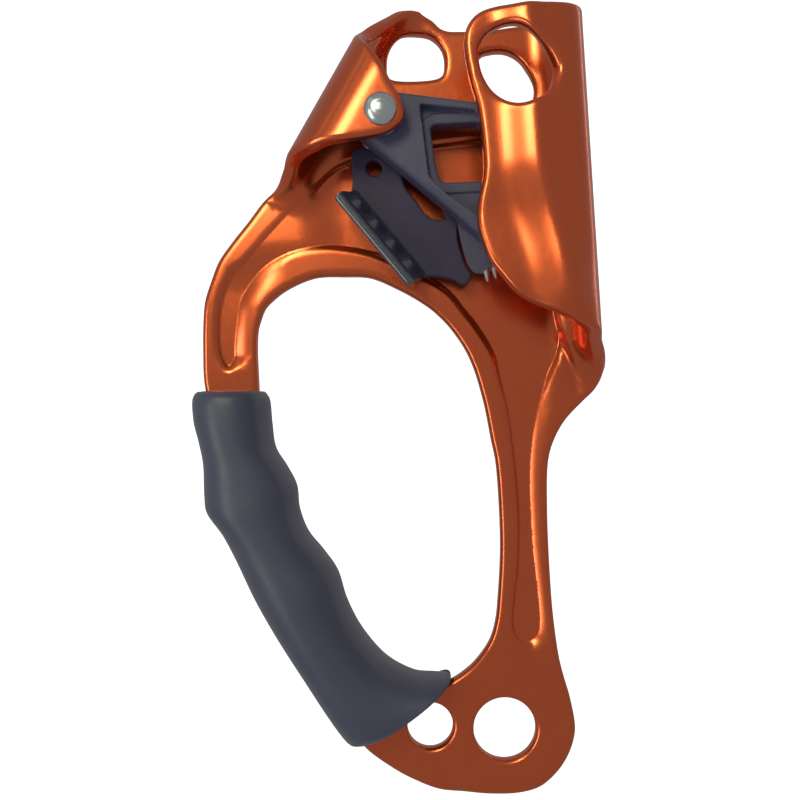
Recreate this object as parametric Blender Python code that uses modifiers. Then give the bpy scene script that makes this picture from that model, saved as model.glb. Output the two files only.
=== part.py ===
"""Handled rope ascender, in metres, +Z up along the rope, -Y towards the user.

The origin is on the rope's axis. The frame is one folded sheet: its right side is
rolled into the rope channel, its upper left into the ear that carries the cam's rivet.
"""
import math

import bmesh
import bpy
from mathutils import Matrix, Vector
from mathutils.geometry import delaunay_2d_cdt

MM = 0.001
SHARP = 32                  # edges over this angle in degrees are shaded sharp

# Sheet frame, mm
SHEET = 4.0                 # plate thickness
ROLL = 10.0                 # mid-surface radius of the channel and of the ear
EMBOSS = 1.2                # depth of the pressed recess, front face to the back
RAMP = 1.3                  # width of the recess's sloping side
CHANNEL_FULL = -35.0        # above this height the channel is a full fold
CHANNEL_FLAT = -46.0        # below it the sheet is flat
EAR_ORIGIN = (-51.3, 6.2)   # a point on the ear's bend line
EAR_ALONG = (0.555, 0.832)  # unit vector up the bend line
EAR_OUT = (-0.832, 0.555)   # unit vector from the bend line towards the ear's outside
EAR_FULL = -0.5             # distance up the bend line where the fold is complete
EAR_FLAT = -10.0
BEND_STEPS = 10
CARABINER_HOLE = (-17.1, -130.6, 7.8)   # x, z, radius
CORD_HOLE = (-35.7, -128.4, 5.7)
LIP_HOLE = [(-13.6, 32.8), (-13.5, 29.7), (-12.9, 27.0), (-11.6, 24.2), (-9.8, 22.1), (-7.3, 20.4),
            (-4.6, 19.7), (-1.9, 20.1), (0.5, 21.2), (2.1, 22.8), (3.3, 25.4), (3.7, 27.3), (3.3, 29.1),
            (2.0, 31.7), (0.2, 34.1), (-1.6, 36.0), (-3.7, 37.5), (-5.6, 38.1), (-7.9, 38.1),
            (-10.3, 37.3), (-12.1, 35.9), (-13.2, 34.3)]
BACK_HOLE = [(-10.7, 38.4), (-8.8, 38.8), (-6.7, 38.9), (-4.6, 38.5), (-2.6, 37.4), (-1.0, 35.8),
             (0.1, 33.9), (1.0, 31.9), (1.6, 29.8), (1.6, 27.7), (1.2, 26.0), (0.9, 24.3), (-0.5, 22.6),
             (-3.0, 21.4), (-6.0, 20.9), (-9.0, 21.6), (-11.2, 23.2), (-12.2, 26.5), (-12.5, 31.0),
             (-12.3, 34.5), (-11.9, 36.9)]
CHANNEL_WIDEN = 0.06                    # how much wider the bend is at the top than at its foot

# Cam and its rivet, mm
RIVET = (-37.2, 20.5)
RIVET_R = 2.75
RUN = 0.08                  # radial running clearance
CAM_FRONT, CAM_BACK = -6.0, 2.2
HUB_R = 6.25
TOOTH_RADIUS, TOOTH_HEIGHT, TOOTH_LEAN = 1.2, 2.2, 0.41

# Catch and its pin, mm
PIN = (-21.3, 0.8)
PIN_R = 1.5
CATCH_FRONT, CATCH_BACK = 2.5, 5.5


# ---------------------------------------------------------------- helpers

def clear_scene():
    for ob in list(bpy.data.objects):
        bpy.data.objects.remove(ob, do_unlink=True)


def material(name, colour, metallic, roughness):
    mat = bpy.data.materials.new(name)
    mat.use_nodes = True
    bsdf = mat.node_tree.nodes["Principled BSDF"]
    bsdf.inputs["Base Color"].default_value = (*colour, 1.0)
    bsdf.inputs["Metallic"].default_value = metallic
    bsdf.inputs["Roughness"].default_value = roughness
    mat.diffuse_color = (*colour, 1.0)
    return mat


def part_from(name, mesh, pivot=(0.0, 0.0, 0.0)):
    """A named piece from a mesh in world metres, welded, its origin at pivot in mm."""
    base = Vector(pivot) * MM
    mesh.transform(Matrix.Translation(-base))
    bm = bmesh.new()
    bm.from_mesh(mesh)
    bmesh.ops.remove_doubles(bm, verts=bm.verts, dist=1e-6)
    bmesh.ops.recalc_face_normals(bm, faces=bm.faces)
    bm.to_mesh(mesh)
    bm.free()
    mesh.name = name
    ob = bpy.data.objects.new(name, mesh)
    ob.location = base
    PARTS.objects.link(ob)
    return ob


def object_from(name, verts, faces, pivot=(0.0, 0.0, 0.0)):
    """A piece from millimetre points and faces."""
    mesh = bpy.data.meshes.new(name)
    mesh.from_pydata([Vector(v) * MM for v in verts], [], faces)
    return part_from(name, mesh, pivot)


def made_mesh(source, name, pivot=(0.0, 0.0, 0.0)):
    """The evaluated curve or modified object as a piece; the source is removed."""
    bpy.context.view_layer.update()
    graph = bpy.context.evaluated_depsgraph_get()
    mesh = bpy.data.meshes.new_from_object(source.evaluated_get(graph))
    mesh.transform(source.matrix_world)
    data = source.data
    bpy.data.objects.remove(source, do_unlink=True)
    if isinstance(data, bpy.types.Curve):
        bpy.data.curves.remove(data)
    else:
        bpy.data.meshes.remove(data)
    return part_from(name, mesh, pivot)


def combine(target, tools, operation):
    """Boolean the tools into the target and drop them."""
    for tool in tools:
        mod = target.modifiers.new("combine", "BOOLEAN")
        mod.operation = operation
        mod.solver = "EXACT"
        mod.object = tool
        bpy.context.view_layer.update()
        graph = bpy.context.evaluated_depsgraph_get()
        mesh = bpy.data.meshes.new_from_object(target.evaluated_get(graph))
        bm = bmesh.new()
        bm.from_mesh(mesh)
        bmesh.ops.remove_doubles(bm, verts=bm.verts, dist=2e-6)
        bmesh.ops.dissolve_degenerate(bm, edges=bm.edges, dist=2e-6)
        bm.to_mesh(mesh)
        bm.free()
        target.modifiers.clear()
        target.data = mesh
        bpy.data.objects.remove(tool, do_unlink=True)
    return target


def arc(cx, cz, radius, start, end, steps):
    return [(cx + radius * math.cos(math.radians(start + (end - start) * i / steps)),
             cz + radius * math.sin(math.radians(start + (end - start) * i / steps)))
            for i in range(steps + 1)]


def circle(cx, cz, radius, steps):
    return arc(cx, cz, radius, 0, 360, steps)[:-1]


def inside(point, loop):
    x, z = point
    hit = False
    for i, (x1, z1) in enumerate(loop):
        x2, z2 = loop[i - 1]
        if (z1 > z) != (z2 > z) and x < (x2 - x1) * (z - z1) / (z2 - z1) + x1:
            hit = not hit
    return hit


def area(loop):
    return 0.5 * sum(loop[i - 1][0] * b[1] - b[0] * loop[i - 1][1] for i, b in enumerate(loop))


def inset(loop, distance):
    """The loop moved inwards by distance, corner by corner."""
    if area(loop) < 0:
        loop = loop[::-1]
    result = []
    count = len(loop)
    for i, (x, z) in enumerate(loop):
        ax, az = loop[i - 1]
        bx, bz = loop[(i + 1) % count]
        d1, d2 = Vector((x - ax, z - az)).normalized(), Vector((bx - x, bz - z)).normalized()
        n1, n2 = Vector((-d1.y, d1.x)), Vector((-d2.y, d2.x))
        n = (n1 + n2).normalized()
        n *= distance / max(0.55, n.dot(n1))
        result.append((x + n.x, z + n.y))
    return result


def triangulate(loops, lines, outline, holes):
    """Triangles of the outline less its holes, with every loop and line as edges."""
    verts, edges = [], []
    for loop in loops:
        base = len(verts)
        verts += [Vector(p) for p in loop]
        edges += [(base + i, base + (i + 1) % len(loop)) for i in range(len(loop))]
    for a, b in lines:
        edges.append((len(verts), len(verts) + 1))
        verts += [Vector(a), Vector(b)]
    points, _, faces, _, _, _ = delaunay_2d_cdt(verts, edges, [], 0, 1e-5)
    kept = []
    for face in faces:
        c = (sum(points[i].x for i in face) / len(face), sum(points[i].y for i in face) / len(face))
        if inside(c, outline) and not any(inside(c, hole) for hole in holes):
            kept.append(list(face))
    used = sorted({i for face in kept for i in face})
    index = {old: new for new, old in enumerate(used)}
    return [tuple(points[i]) for i in used], [[index[i] for i in face] for face in kept]


def plate(name, outline, y_front, y_back, holes=(), pivot=(0.0, 0.0, 0.0)):
    """A flat plate in X and Z between two Y values, from a filled 2D curve."""
    curve = bpy.data.curves.new(name, "CURVE")
    curve.dimensions = "2D"
    curve.fill_mode = "BOTH"
    curve.extrude = (y_back - y_front) / 2 * MM
    for loop in [outline, *holes]:
        spline = curve.splines.new("POLY")
        spline.points.add(len(loop) - 1)
        for point, (x, z) in zip(spline.points, loop):
            point.co = (x * MM, z * MM, 0.0, 1.0)
        spline.use_cyclic_u = True
    ob = bpy.data.objects.new(name, curve)
    ob.location = (0.0, (y_front + y_back) / 2 * MM, 0.0)
    ob.rotation_euler = (math.radians(90), 0.0, 0.0)
    PARTS.objects.link(ob)
    return made_mesh(ob, name, pivot)


def turned(name, x, z, profile, steps, pivot=(0.0, 0.0, 0.0)):
    """A body turned about a Y axis from (radius, y) pairs listed front to back."""
    mesh = bpy.data.meshes.new(name)
    count = len(profile)
    edges = [(i, i + 1) for i in range(count - 1)]
    if profile[0][0] > 0:
        edges.append((count - 1, 0))
    mesh.from_pydata([(r * MM, 0.0, y * MM) for r, y in reversed(profile)], edges, [])
    ob = bpy.data.objects.new(name, mesh)
    ob.location = (x * MM, 0.0, z * MM)
    ob.rotation_euler = (math.radians(-90), 0.0, 0.0)
    PARTS.objects.link(ob)
    screw = ob.modifiers.new("turn", "SCREW")
    screw.axis = "Z"
    screw.steps = screw.render_steps = steps
    screw.use_merge_vertices = True
    screw.merge_threshold = 1e-6
    return made_mesh(ob, name, pivot)


def tube(name, path, radius, pivot=(0.0, 0.0, 0.0)):
    """A round wire along a path, from a bevelled curve."""
    curve = bpy.data.curves.new(name, "CURVE")
    curve.dimensions = "3D"
    curve.bevel_depth = radius * MM
    curve.bevel_resolution = 2
    curve.use_fill_caps = True
    spline = curve.splines.new("POLY")
    spline.points.add(len(path) - 1)
    for point, p in zip(spline.points, path):
        point.co = (*(Vector(p) * MM), 1.0)
    ob = bpy.data.objects.new(name, curve)
    PARTS.objects.link(ob)
    return made_mesh(ob, name, pivot)


# ---------------------------------------------------------------- frame

def ease(x):
    x = max(0.0, min(1.0, x))
    return x * x * (3 - 2 * x)


def rolled(distance, strength):
    """Where a point this far past a bend line goes: offset, height and tilt."""
    curve = strength / ROLL
    if distance <= 0 or curve < 1e-6:
        return distance, ROLL, 0.0
    angle = curve * distance
    if angle < math.pi:
        return math.sin(angle) / curve, ROLL - (1 - math.cos(angle)) / curve, angle
    return -(distance - math.pi / curve), ROLL - 2 / curve, math.pi


def folded(p, lift):
    """The folded sheet's point for a point of the flat blank, pressed lift mm off its middle."""
    x, z = p
    dx, dz = x - EAR_ORIGIN[0], z - EAR_ORIGIN[1]
    along = dx * EAR_ALONG[0] + dz * EAR_ALONG[1]
    out = dx * EAR_OUT[0] + dz * EAR_OUT[1]
    if x > 0:
        off, y, tilt = rolled(x, ease((z - CHANNEL_FLAT) / (CHANNEL_FULL - CHANNEL_FLAT)))
        off += lift * math.sin(tilt)
        if off > 0:
            off *= 1 + CHANNEL_WIDEN * min(1.0, max(0.0, (z - CHANNEL_FULL) / 77))
        return off, y + lift * math.cos(tilt), z
    if out > 0 and along > EAR_FLAT:
        off, y, tilt = rolled(out, ease((along - EAR_FLAT) / (EAR_FULL - EAR_FLAT)))
        off += lift * math.sin(tilt)
        return (EAR_ORIGIN[0] + along * EAR_ALONG[0] + off * EAR_OUT[0],
                y + lift * math.cos(tilt),
                EAR_ORIGIN[1] + along * EAR_ALONG[1] + off * EAR_OUT[1])
    return x, ROLL + lift, z


def ear(along, out):
    """A blank point in the ear's own coordinates."""
    return (EAR_ORIGIN[0] + along * EAR_ALONG[0] + out * EAR_OUT[0],
            EAR_ORIGIN[1] + along * EAR_ALONG[1] + out * EAR_OUT[1])


EAR_FLAP = [(4.6, 25.2), (6.7, 27.5), (10.7, 33.0), (15.5, 38.6), (18.7, 40.5), (20.6, 40.9),
            (22.1, 40.1), (24.8, 37.4), (26.6, 34.2), (31.5, 26.6), (33.2, 22.0), (36.5, 15.7),
            (40.8, 12.4), (44.6, 9.8), (48.2, 7.6), (50.0, 5.4), (50.8, 3.2)]
CHANNEL_FLAP = [(36.0, 42.5), (40.3, 42.6), (43.4, 42.0), (45.8, 40.5), (47.5, 38.0), (48.2, 34.6),
                (47.5, 26.7), (46.1, 19.7), (45.6, 11.6), (45.8, 4.7), (47.5, -2.0), (48.0, -6.6),
                (47.4, -10.5), (45.9, -15.5), (43.6, -19.1), (40.3, -23.5), (36.3, -26.4),
                (31.6, -28.7), (27.5, -31.0), (23.5, -33.0), (20.5, -34.6), (17.5, -36.6),
                (15.5, -38.5), (14.6, -40.3), (14.1, -42.5), (13.1, -45.0), (11.3, -47.5),
                (8.6, -49.8)]
SPINE_EDGE = [(3.6, -54.4), (0.5, -59.1), (-1.3, -64.0), (-2.5, -76.4), (-3.0, -93.8),
              (-2.9, -103.7), (-2.2, -113.7), (-1.3, -118.8), (-0.2, -123.8), (0.6, -131.4),
              (-0.1, -134.8), (-2.0, -138.9), (-5.3, -142.9), (-9.4, -145.8), (-14.7, -147.0),
              (-22.2, -146.6), (-28.4, -145.6), (-34.7, -144.5), (-40.9, -141.6), (-45.5, -138.7),
              (-52.1, -133.2)]
LEFT_EDGE = [(-54.5, -129.5), (-57.6, -124.5), (-63.2, -114.5), (-68.8, -104.0), (-73.7, -94.0),
             (-77.5, -84.5), (-80.5, -77.5), (-83.5, -71.5), (-84.6, -66.0), (-84.8, -55.0),
             (-85.5, -45.0), (-86.2, -38.0), (-85.9, -30.5), (-85.3, -23.1), (-84.5, -18.2),
             (-82.6, -13.3), (-80.3, -8.5), (-76.5, -3.8), (-72.2, 0.9), (-68.1, 5.6)]
EAR_ROOT = [(-4.6, 12.3), (-0.5, 15.7), (1.8, 20.5)]
HAND_OPENING = [(-72.6, -41.4), (-73.0, -49.0), (-72.4, -55.7), (-69.6, -62.3), (-67.9, -66.4),
                (-67.9, -72.0), (-65.7, -78.8), (-61.6, -84.7), (-59.3, -88.2), (-58.2, -92.3),
                (-56.3, -97.4), (-53.1, -104.5), (-48.0, -111.8), (-42.6, -116.0), (-37.5, -117.9),
                (-33.0, -118.4), (-29.8, -117.6), (-26.2, -115.6), (-23.3, -113.3), (-19.4, -108.5),
                (-17.5, -103.6), (-16.2, -96.1), (-15.0, -86.0), (-14.5, -75.0), (-14.6, -63.3),
                (-15.3, -58.2), (-16.2, -50.5), (-17.1, -45.4), (-18.3, -40.2), (-20.2, -35.0),
                (-23.3, -29.7), (-25.4, -27.0), (-28.0, -24.3), (-31.6, -21.5), (-36.0, -18.7),
                (-42.6, -15.4), (-49.1, -14.6), (-56.5, -14.4), (-63.4, -16.7), (-67.1, -19.0),
                (-69.6, -21.3), (-70.8, -23.8), (-71.7, -26.3), (-72.3, -31.3)]
D_HOLE = [(-32.9, 33.6), (-22.4, 33.3), (-20.9, 34.3), (-20.3, 38.6), (-21.3, 41.6), (-23.7, 43.9),
          (-27.0, 44.6), (-30.6, 44.2), (-33.2, 42.6), (-34.8, 40.0), (-35.1, 36.6), (-34.7, 34.6)]
RECESS = [(3.5, -35.3), (-0.1, -42.9), (-2.3, -49.0), (-4.6, -56.3), (-6.3, -66.2), (-7.0, -83.7),
          (-7.5, -105.0), (-8.6, -107.6), (-10.8, -108.6), (-12.4, -107.4), (-12.9, -105.0),
          (-10.5, -89.5), (-9.4, -76.5), (-9.5, -66.0), (-9.8, -58.7), (-10.4, -50.9),
          (-11.7, -43.5), (-12.9, -36.7), (-16.4, -29.7), (-19.6, -24.9), (-22.8, -20.4),
          (-27.8, -16.3), (-35.0, -12.0), (-41.8, -8.8), (-51.1, -6.6), (-57.2, -6.7),
          (-62.2, -7.6), (-66.1, -9.1), (-69.5, -11.1), (-72.7, -14.3), (-75.6, -18.7),
          (-76.9, -23.6), (-77.9, -29.8), (-78.3, -33.3), (-79.7, -34.9), (-81.1, -32.0),
          (-81.3, -25.8), (-80.0, -18.3), (-77.7, -13.5), (-73.9, -9.7), (-68.8, -4.3),
          (-61.0, 3.0), (-56.0, 7.0), (-51.0, 11.0), (-46.0, 13.1), (-35.0, 14.6), (-25.0, 15.8),
          (-14.1, 16.3), (-3.0, 16.5), (1.5, 14.0), (2.6, 8.0), (2.6, -25.0)]


def build_frame():
    outline = ([(-22.4, 47.7), (-20.8, 45.9), (-18.9, 45.0), (-15.9, 44.7), (-8.9, 44.2),
                (0.0, 43.9), (12.0, 43.4), (25.0, 42.7)] + CHANNEL_FLAP + SPINE_EDGE + LEFT_EDGE
               + [ear(*p) for p in EAR_ROOT] + [ear(*p) for p in EAR_FLAP] + [(-25.5, 49.9)])
    holes = [HAND_OPENING, D_HOLE, circle(*CARABINER_HOLE, 28), circle(*CORD_HOLE, 24),
             circle(*ear(19.7, 35.2), RIVET_R + 0.1, 16), circle(*RIVET, RIVET_R + 0.1, 16)]
    floor = inset(RECESS, RAMP)
    lines = []
    for i in range(BEND_STEPS + 1):
        s = math.pi * ROLL * i / BEND_STEPS
        lines.append(((s + 1e-4, 46.0), (s + 1e-4, -50.0)))
        lines.append((ear(EAR_FLAT, s + 1e-4), ear(52.0, s + 1e-4)))
    for i in range(6):
        z = CHANNEL_FLAT + (CHANNEL_FULL - CHANNEL_FLAT) * i / 5
        lines.append(((0.0, z), (32.0, z)))
        t = EAR_FLAT + (EAR_FULL - EAR_FLAT) * i / 5
        lines.append((ear(t, 0.0), ear(t, 30.0)))
    points, faces = triangulate([outline, *holes, RECESS, floor], lines, outline, holes)
    press = [EMBOSS if inside(p, floor) or on_loop(p, floor) else 0.0 for p in points]
    depth = dict(zip(points, press))
    sheet = object_from("sheet", [folded(p, depth[p]) for p in points], faces)
    thick = sheet.modifiers.new("thickness", "SOLIDIFY")
    thick.thickness = SHEET * MM
    thick.offset = 0.0
    thick.use_even_offset = True
    frame = made_mesh(sheet, "frame")
    return combine(frame, [plate("lip_hole", LIP_HOLE, -20.0, 0.0),
                           plate("back_hole", BACK_HOLE, 0.0, 20.0)], "DIFFERENCE")


def on_loop(p, loop):
    for i, b in enumerate(loop):
        a = Vector(loop[i - 1])
        d = Vector(b) - a
        t = max(0.0, min(1.0, (Vector(p) - a).dot(d) / d.length_squared))
        if (a + d * t - Vector(p)).length < 1e-3:
            return True
    return False


# ---------------------------------------------------------------- grip

GRIP_OUTER = [(-87.6, -40.7), (-88.5, -41.6), (-89.2, -43.6), (-89.0, -48.5), (-88.1, -53.5),
              (-87.5, -59.0), (-87.8, -66.5), (-87.4, -71.0), (-83.9, -76.7), (-80.9, -83.6),
              (-77.1, -93.3), (-72.1, -103.6), (-66.4, -114.0), (-60.7, -124.3), (-57.0, -130.1),
              (-54.8, -131.2), (-51.4, -130.6)]
GRIP_INNER = [(-71.6, -41.7), (-70.9, -42.7), (-70.3, -44.6), (-70.2, -50.1), (-69.7, -56.2),
              (-67.1, -61.2), (-65.0, -66.1), (-64.7, -72.0), (-62.9, -78.0), (-59.2, -83.3),
              (-56.1, -88.6), (-54.3, -96.0), (-51.0, -103.6), (-45.4, -111.0), (-38.6, -115.3),
              (-32.9, -116.3), (-29.2, -116.7)]
GRIP_DEPTH = [10.6, 12.4, 13.2, 13.5, 13.5, 13.4, 13.4, 13.6, 13.4, 13.2, 13.5, 13.5, 13.5, 13.3,
              13.0, 12.6, 12.2]
GRIP_SIDES = 20


def build_grip():
    verts, faces = [], []
    for (ax, az), (bx, bz), deep in zip(GRIP_OUTER, GRIP_INNER, GRIP_DEPTH):
        mx, mz = (ax + bx) / 2, (az + bz) / 2
        for k in range(GRIP_SIDES):
            a = 2 * math.pi * k / GRIP_SIDES
            c, s = math.cos(a), math.sin(a)
            u = math.copysign(abs(c) ** 0.8, c)
            w = math.copysign(abs(s) ** 0.8, s)
            verts.append((mx + (bx - ax) / 2 * u, ROLL + deep * w, mz + (bz - az) / 2 * u))
    n = GRIP_SIDES
    for i in range(len(GRIP_OUTER) - 1):
        for k in range(n):
            m = (k + 1) % n
            faces.append([i * n + k, i * n + m, (i + 1) * n + m, (i + 1) * n + k])
    faces.append(list(range(n)))
    faces.append([len(verts) - 1 - k for k in range(n)])
    grip = object_from("grip", verts, faces)
    slot = [(-86.8, -36.0), (-86.7, -38.0), (-86.1, -45.0), (-85.4, -55.0), (-85.2, -66.0),
            (-84.1, -71.8), (-81.0, -77.8), (-78.0, -84.8), (-74.2, -94.3), (-69.3, -104.3),
            (-63.7, -114.8), (-58.1, -124.8), (-55.0, -129.9), (-52.2, -133.4), (-46.0, -140.0),
            (-24.0, -118.0), (-29.0, -117.0), (-32.9, -117.9), (-37.4, -117.4), (-42.3, -115.5),
            (-47.6, -111.4), (-52.7, -104.2), (-55.8, -97.2), (-57.7, -92.1), (-58.8, -88.0),
            (-61.1, -84.4), (-65.2, -78.6), (-67.4, -71.9), (-67.4, -66.2), (-69.1, -62.0),
            (-71.9, -55.5), (-72.5, -49.0), (-72.2, -41.4), (-72.0, -36.0)]
    clearance = SHEET / 2 + 0.2
    return combine(grip, [plate("slot", slot, ROLL - clearance, ROLL + clearance)], "DIFFERENCE")


# ---------------------------------------------------------------- cam

def polar(radius, degrees):
    a = math.radians(degrees)
    return RIVET[0] + radius * math.cos(a), RIVET[1] + radius * math.sin(a)


FACE = [(26.2, 2.0), (29.0, -3.5), (32.5, -9.0), (35.7, -14.0), (38.5, -19.0), (40.7, -24.0),
        (42.5, -29.0), (44.0, -34.0), (45.0, -39.0), (45.8, -43.5), (46.0, -48.0), (45.3, -53.0),
        (44.0, -57.0)]
HUB = arc(*RIVET, HUB_R, 226, 79, 10)


def build_cam():
    lower = [(-14.6, -17.4), (-17.4, -16.9), (-18.6, -14.9), (-19.4, -11.9), (-20.0, -8.7),
             (-20.5, -4.15)]
    outline = HUB + [(-15.2, 22.5), (-12.6, 21.9)] + [polar(*p) for p in FACE] + lower
    pocket = [(-27.8, 22.7), (-15.4, 20.5), (-13.4, 19.2), (-9.5, 13.9), (-5.6, 7.2), (-4.6, -0.3),
              (-6.4, -6.3), (-9.0, -8.6), (-12.0, -7.9), (-16.5, -4.4), (-22.7, 0.6), (-27.3, 6.0)]
    window = [(-25.4, 17.9), (-24.9, 8.0), (-24.0, 5.2), (-22.8, 4.4), (-9.0, 4.2), (-8.2, 6.8),
              (-10.6, 13.0), (-13.6, 17.6), (-15.0, 18.0)]
    pivot = (RIVET[0], 0.0, RIVET[1])
    cam = plate("cam", outline, CAM_FRONT, CAM_BACK, [circle(*RIVET, 3.8 + RUN, 24)], pivot)
    block = [polar(26.2, 2.0), *[polar(*p) for p in FACE[1:8]], polar(39.0, -34.0),
             polar(37.5, -26.0), polar(33.5, -17.0), polar(28.0, -8.0), polar(23.5, 2.0)]
    combine(cam, [plate("block", block, CAM_BACK - 1.37, 6.4)], "UNION")
    combine(cam, [plate("pocket", pocket, CAM_FRONT - 1.0, -3.0),
                  plate("window", window, -10.0, 10.0),
                  plate("foot", [(-20.7, -3.95), (-7.0, -17.05), (-7.0, -24.0), (-20.9, -24.0)],
                        CAM_FRONT - 1.0, 0.0),
                  plate("pin_hole", circle(*PIN, PIN_R + 0.02, 16), -1.0, 3.0)], "DIFFERENCE")
    teeth = []
    for degrees in range(-4, -56, -6):
        low = [p for p in FACE if p[1] <= degrees][0]
        high = [p for p in FACE if p[1] > degrees][-1]
        f = (degrees - high[1]) / (low[1] - high[1])
        radius = high[0] + (low[0] - high[0]) * f
        for y in ((-4.2, -1.9, 0.4, 3.4, 5.2) if degrees > -30 else (-4.2, -1.9, 0.4)):
            if degrees < -46 and y < -1.8:
                continue
            teeth.append(tooth(radius, degrees, y))
    return combine(cam, teeth, "UNION")


def tooth(radius, degrees, y):
    """A four-sided cone on the rope face, its point leaning down the rope."""
    a = math.radians(degrees)
    out, down = Vector((math.cos(a), 0.0, math.sin(a))), Vector((math.sin(a), 0.0, -math.cos(a)))
    centre = Vector((RIVET[0], y, RIVET[1])) + out * (radius - 0.7)
    place = Matrix((down, Vector((0.0, 1.0, 0.0)), out)).transposed().to_4x4()
    place.translation = centre * MM
    bm = bmesh.new()
    bmesh.ops.create_cone(bm, cap_ends=True, segments=4, radius1=TOOTH_RADIUS * MM, radius2=0.0,
                          depth=TOOTH_HEIGHT * MM)
    bmesh.ops.rotate(bm, verts=bm.verts, matrix=Matrix.Rotation(math.radians(45), 3, "Z"))
    bmesh.ops.translate(bm, verts=bm.verts, vec=(0.0, 0.0, TOOTH_HEIGHT / 2 * MM))
    for v in bm.verts:
        v.co.x += TOOTH_LEAN * v.co.z
    bm.transform(place)
    mesh = bpy.data.meshes.new("tooth")
    bm.to_mesh(mesh)
    bm.free()
    return part_from("tooth", mesh)


# ---------------------------------------------------------------- catch

CATCH_OUTLINE = [(-44.8, 15.3), (-45.2, 11.2), (-45.1, 7.4), (-45.7, 5.2), (-29.8, -16.8),
                 (-27.2, -16.8), (-24.3, -17.4), (-21.8, -18.3), (-20.5, -19.4), (-19.3, -19.5),
                 (-18.0, -18.4), (-17.8, -16.7), (-19.1, -14.8), (-19.8, -11.9), (-20.5, -8.7),
                 (-20.4, -4.9), (-18.8, -1.6), (-18.4, 0.8), (-19.2, 2.8), (-21.3, 3.7),
                 (-23.1, 2.9), (-23.9, 1.0), (-23.6, -1.6), (-22.8, -3.2), (-25.8, -3.2),
                 (-28.0, -1.7), (-30.0, 1.8), (-32.1, 4.6), (-33.2, 8.0), (-33.0, 11.2),
                 (-35.0, 13.4), (-38.6, 14.5), (-42.0, 15.9)]
TAB_FROM, TAB_TO = (-45.7, 5.2), (-29.8, -16.8)


def build_catch():
    pivot = (PIN[0], 0.0, PIN[1])
    holes = [circle(*PIN, PIN_R + RUN, 16), circle(-39.7, 10.6, 1.9, 14)]
    catch = plate("catch", CATCH_OUTLINE, CATCH_FRONT, CATCH_BACK, holes, pivot)
    along = (Vector(TAB_TO) - Vector(TAB_FROM)).normalized()
    out = Vector((along.y, -along.x))
    if out.x > 0:
        out = -out
    length = (Vector(TAB_TO) - Vector(TAB_FROM)).length
    verts, faces = [], []
    steps = 16
    for i in range(steps + 1):
        s = length * i / steps
        rib = 0.45 if i % 4 in (1, 2) and 0 < i < steps else 0.0
        section = [(-2.0, 5.2), (-2.0, 2.8), (-0.9, 2.2 - rib), (0.9, -1.2 - rib), (2.3, -4.4 - rib),
                   (3.3, -5.3), (4.8, -4.8), (3.4, 0.4), (1.8, 4.2), (0.7, 5.2)]
        for w, y in section:
            p = Vector(TAB_FROM) + along * s + out * w
            verts.append((p.x, y, p.y))
    n = 10
    for i in range(steps):
        for k in range(n):
            m = (k + 1) % n
            faces.append([i * n + k, i * n + m, (i + 1) * n + m, (i + 1) * n + k])
    faces.append(list(range(n)))
    faces.append([len(verts) - 1 - k for k in range(n)])
    return combine(catch, [object_from("tab", verts, faces)], "UNION")


# ---------------------------------------------------------------- small hardware

def coil(cx, cz, radius, y0, y1, turns, start, steps):
    return [(cx + radius * math.cos(math.radians(start) + 2 * math.pi * turns * i / steps),
             y0 + (y1 - y0) * i / steps,
             cz + radius * math.sin(math.radians(start) + 2 * math.pi * turns * i / steps))
            for i in range(steps + 1)]


def build_hardware():
    x, z = RIVET
    turned("cam_rivet", x, z, [(0.0, -14.1), (1.6, -14.0), (2.8, -13.5), (3.55, -12.75),
                               (3.7, -12.05), (RIVET_R, -12.05), (RIVET_R, 12.85), (4.3, 12.85),
                               (4.3, 13.6), (3.6, 14.2), (0.0, 14.3)], 20)
    turned("rivet_washer", x, z, [(RIVET_R + RUN, 12.05), (5.5, 12.05), (5.5, 12.8),
                                  (RIVET_R + RUN, 12.8)], 20)
    turned("cam_bush", x, z, [(RIVET_R + RUN, -7.7), (3.8, -7.7), (3.8, 7.7), (RIVET_R + RUN, 7.7)], 20,
           (x, 0.0, z))
    turned("front_washer", x, z, [(3.9, -7.6), (4.9, -7.6), (4.9, -6.3), (3.9, -6.3)], 20)
    turned("rear_washer", x, z, [(3.9, 7.05), (5.5, 7.05), (5.5, 7.7), (3.9, 7.7)], 20)
    wire = coil(x, z, 4.75, 3.0, 6.45, 2.99, 60.0, 54)
    first, last = Vector(wire[0]), Vector(wire[-1])
    lead = Vector((first.z - z, 0.0, x - first.x)).normalized()
    tail = Vector((z - last.z, 0.0, last.x - x)).normalized()
    wire = [first + lead * 9.0] + wire + [last + tail * 7.4]
    tube("cam_spring", wire, 0.42, (x, 0.0, z))
    x, z = PIN
    turned("catch_pin", x, z, [(0.0, -0.9), (PIN_R, -0.9), (PIN_R, 7.0), (2.3, 7.0), (2.3, 7.6),
                               (0.0, 7.7)], 16, (RIVET[0], 0.0, RIVET[1]))
    wire = coil(x, z, 1.95, 5.95, 6.7, 1.7, 100.0, 30)
    last = Vector(wire[-1])
    tail = Vector((-(last.z - z), 0.0, last.x - x)).normalized()
    tube("catch_spring", wire + [last + tail * 6.0], 0.22, (x, 0.0, z))


# ---------------------------------------------------------------- assembly

clear_scene()
PARTS = bpy.data.collections.new("ascender")
bpy.context.scene.collection.children.link(PARTS)

build_frame()
build_grip()
build_cam()
build_catch()
build_hardware()

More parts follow.
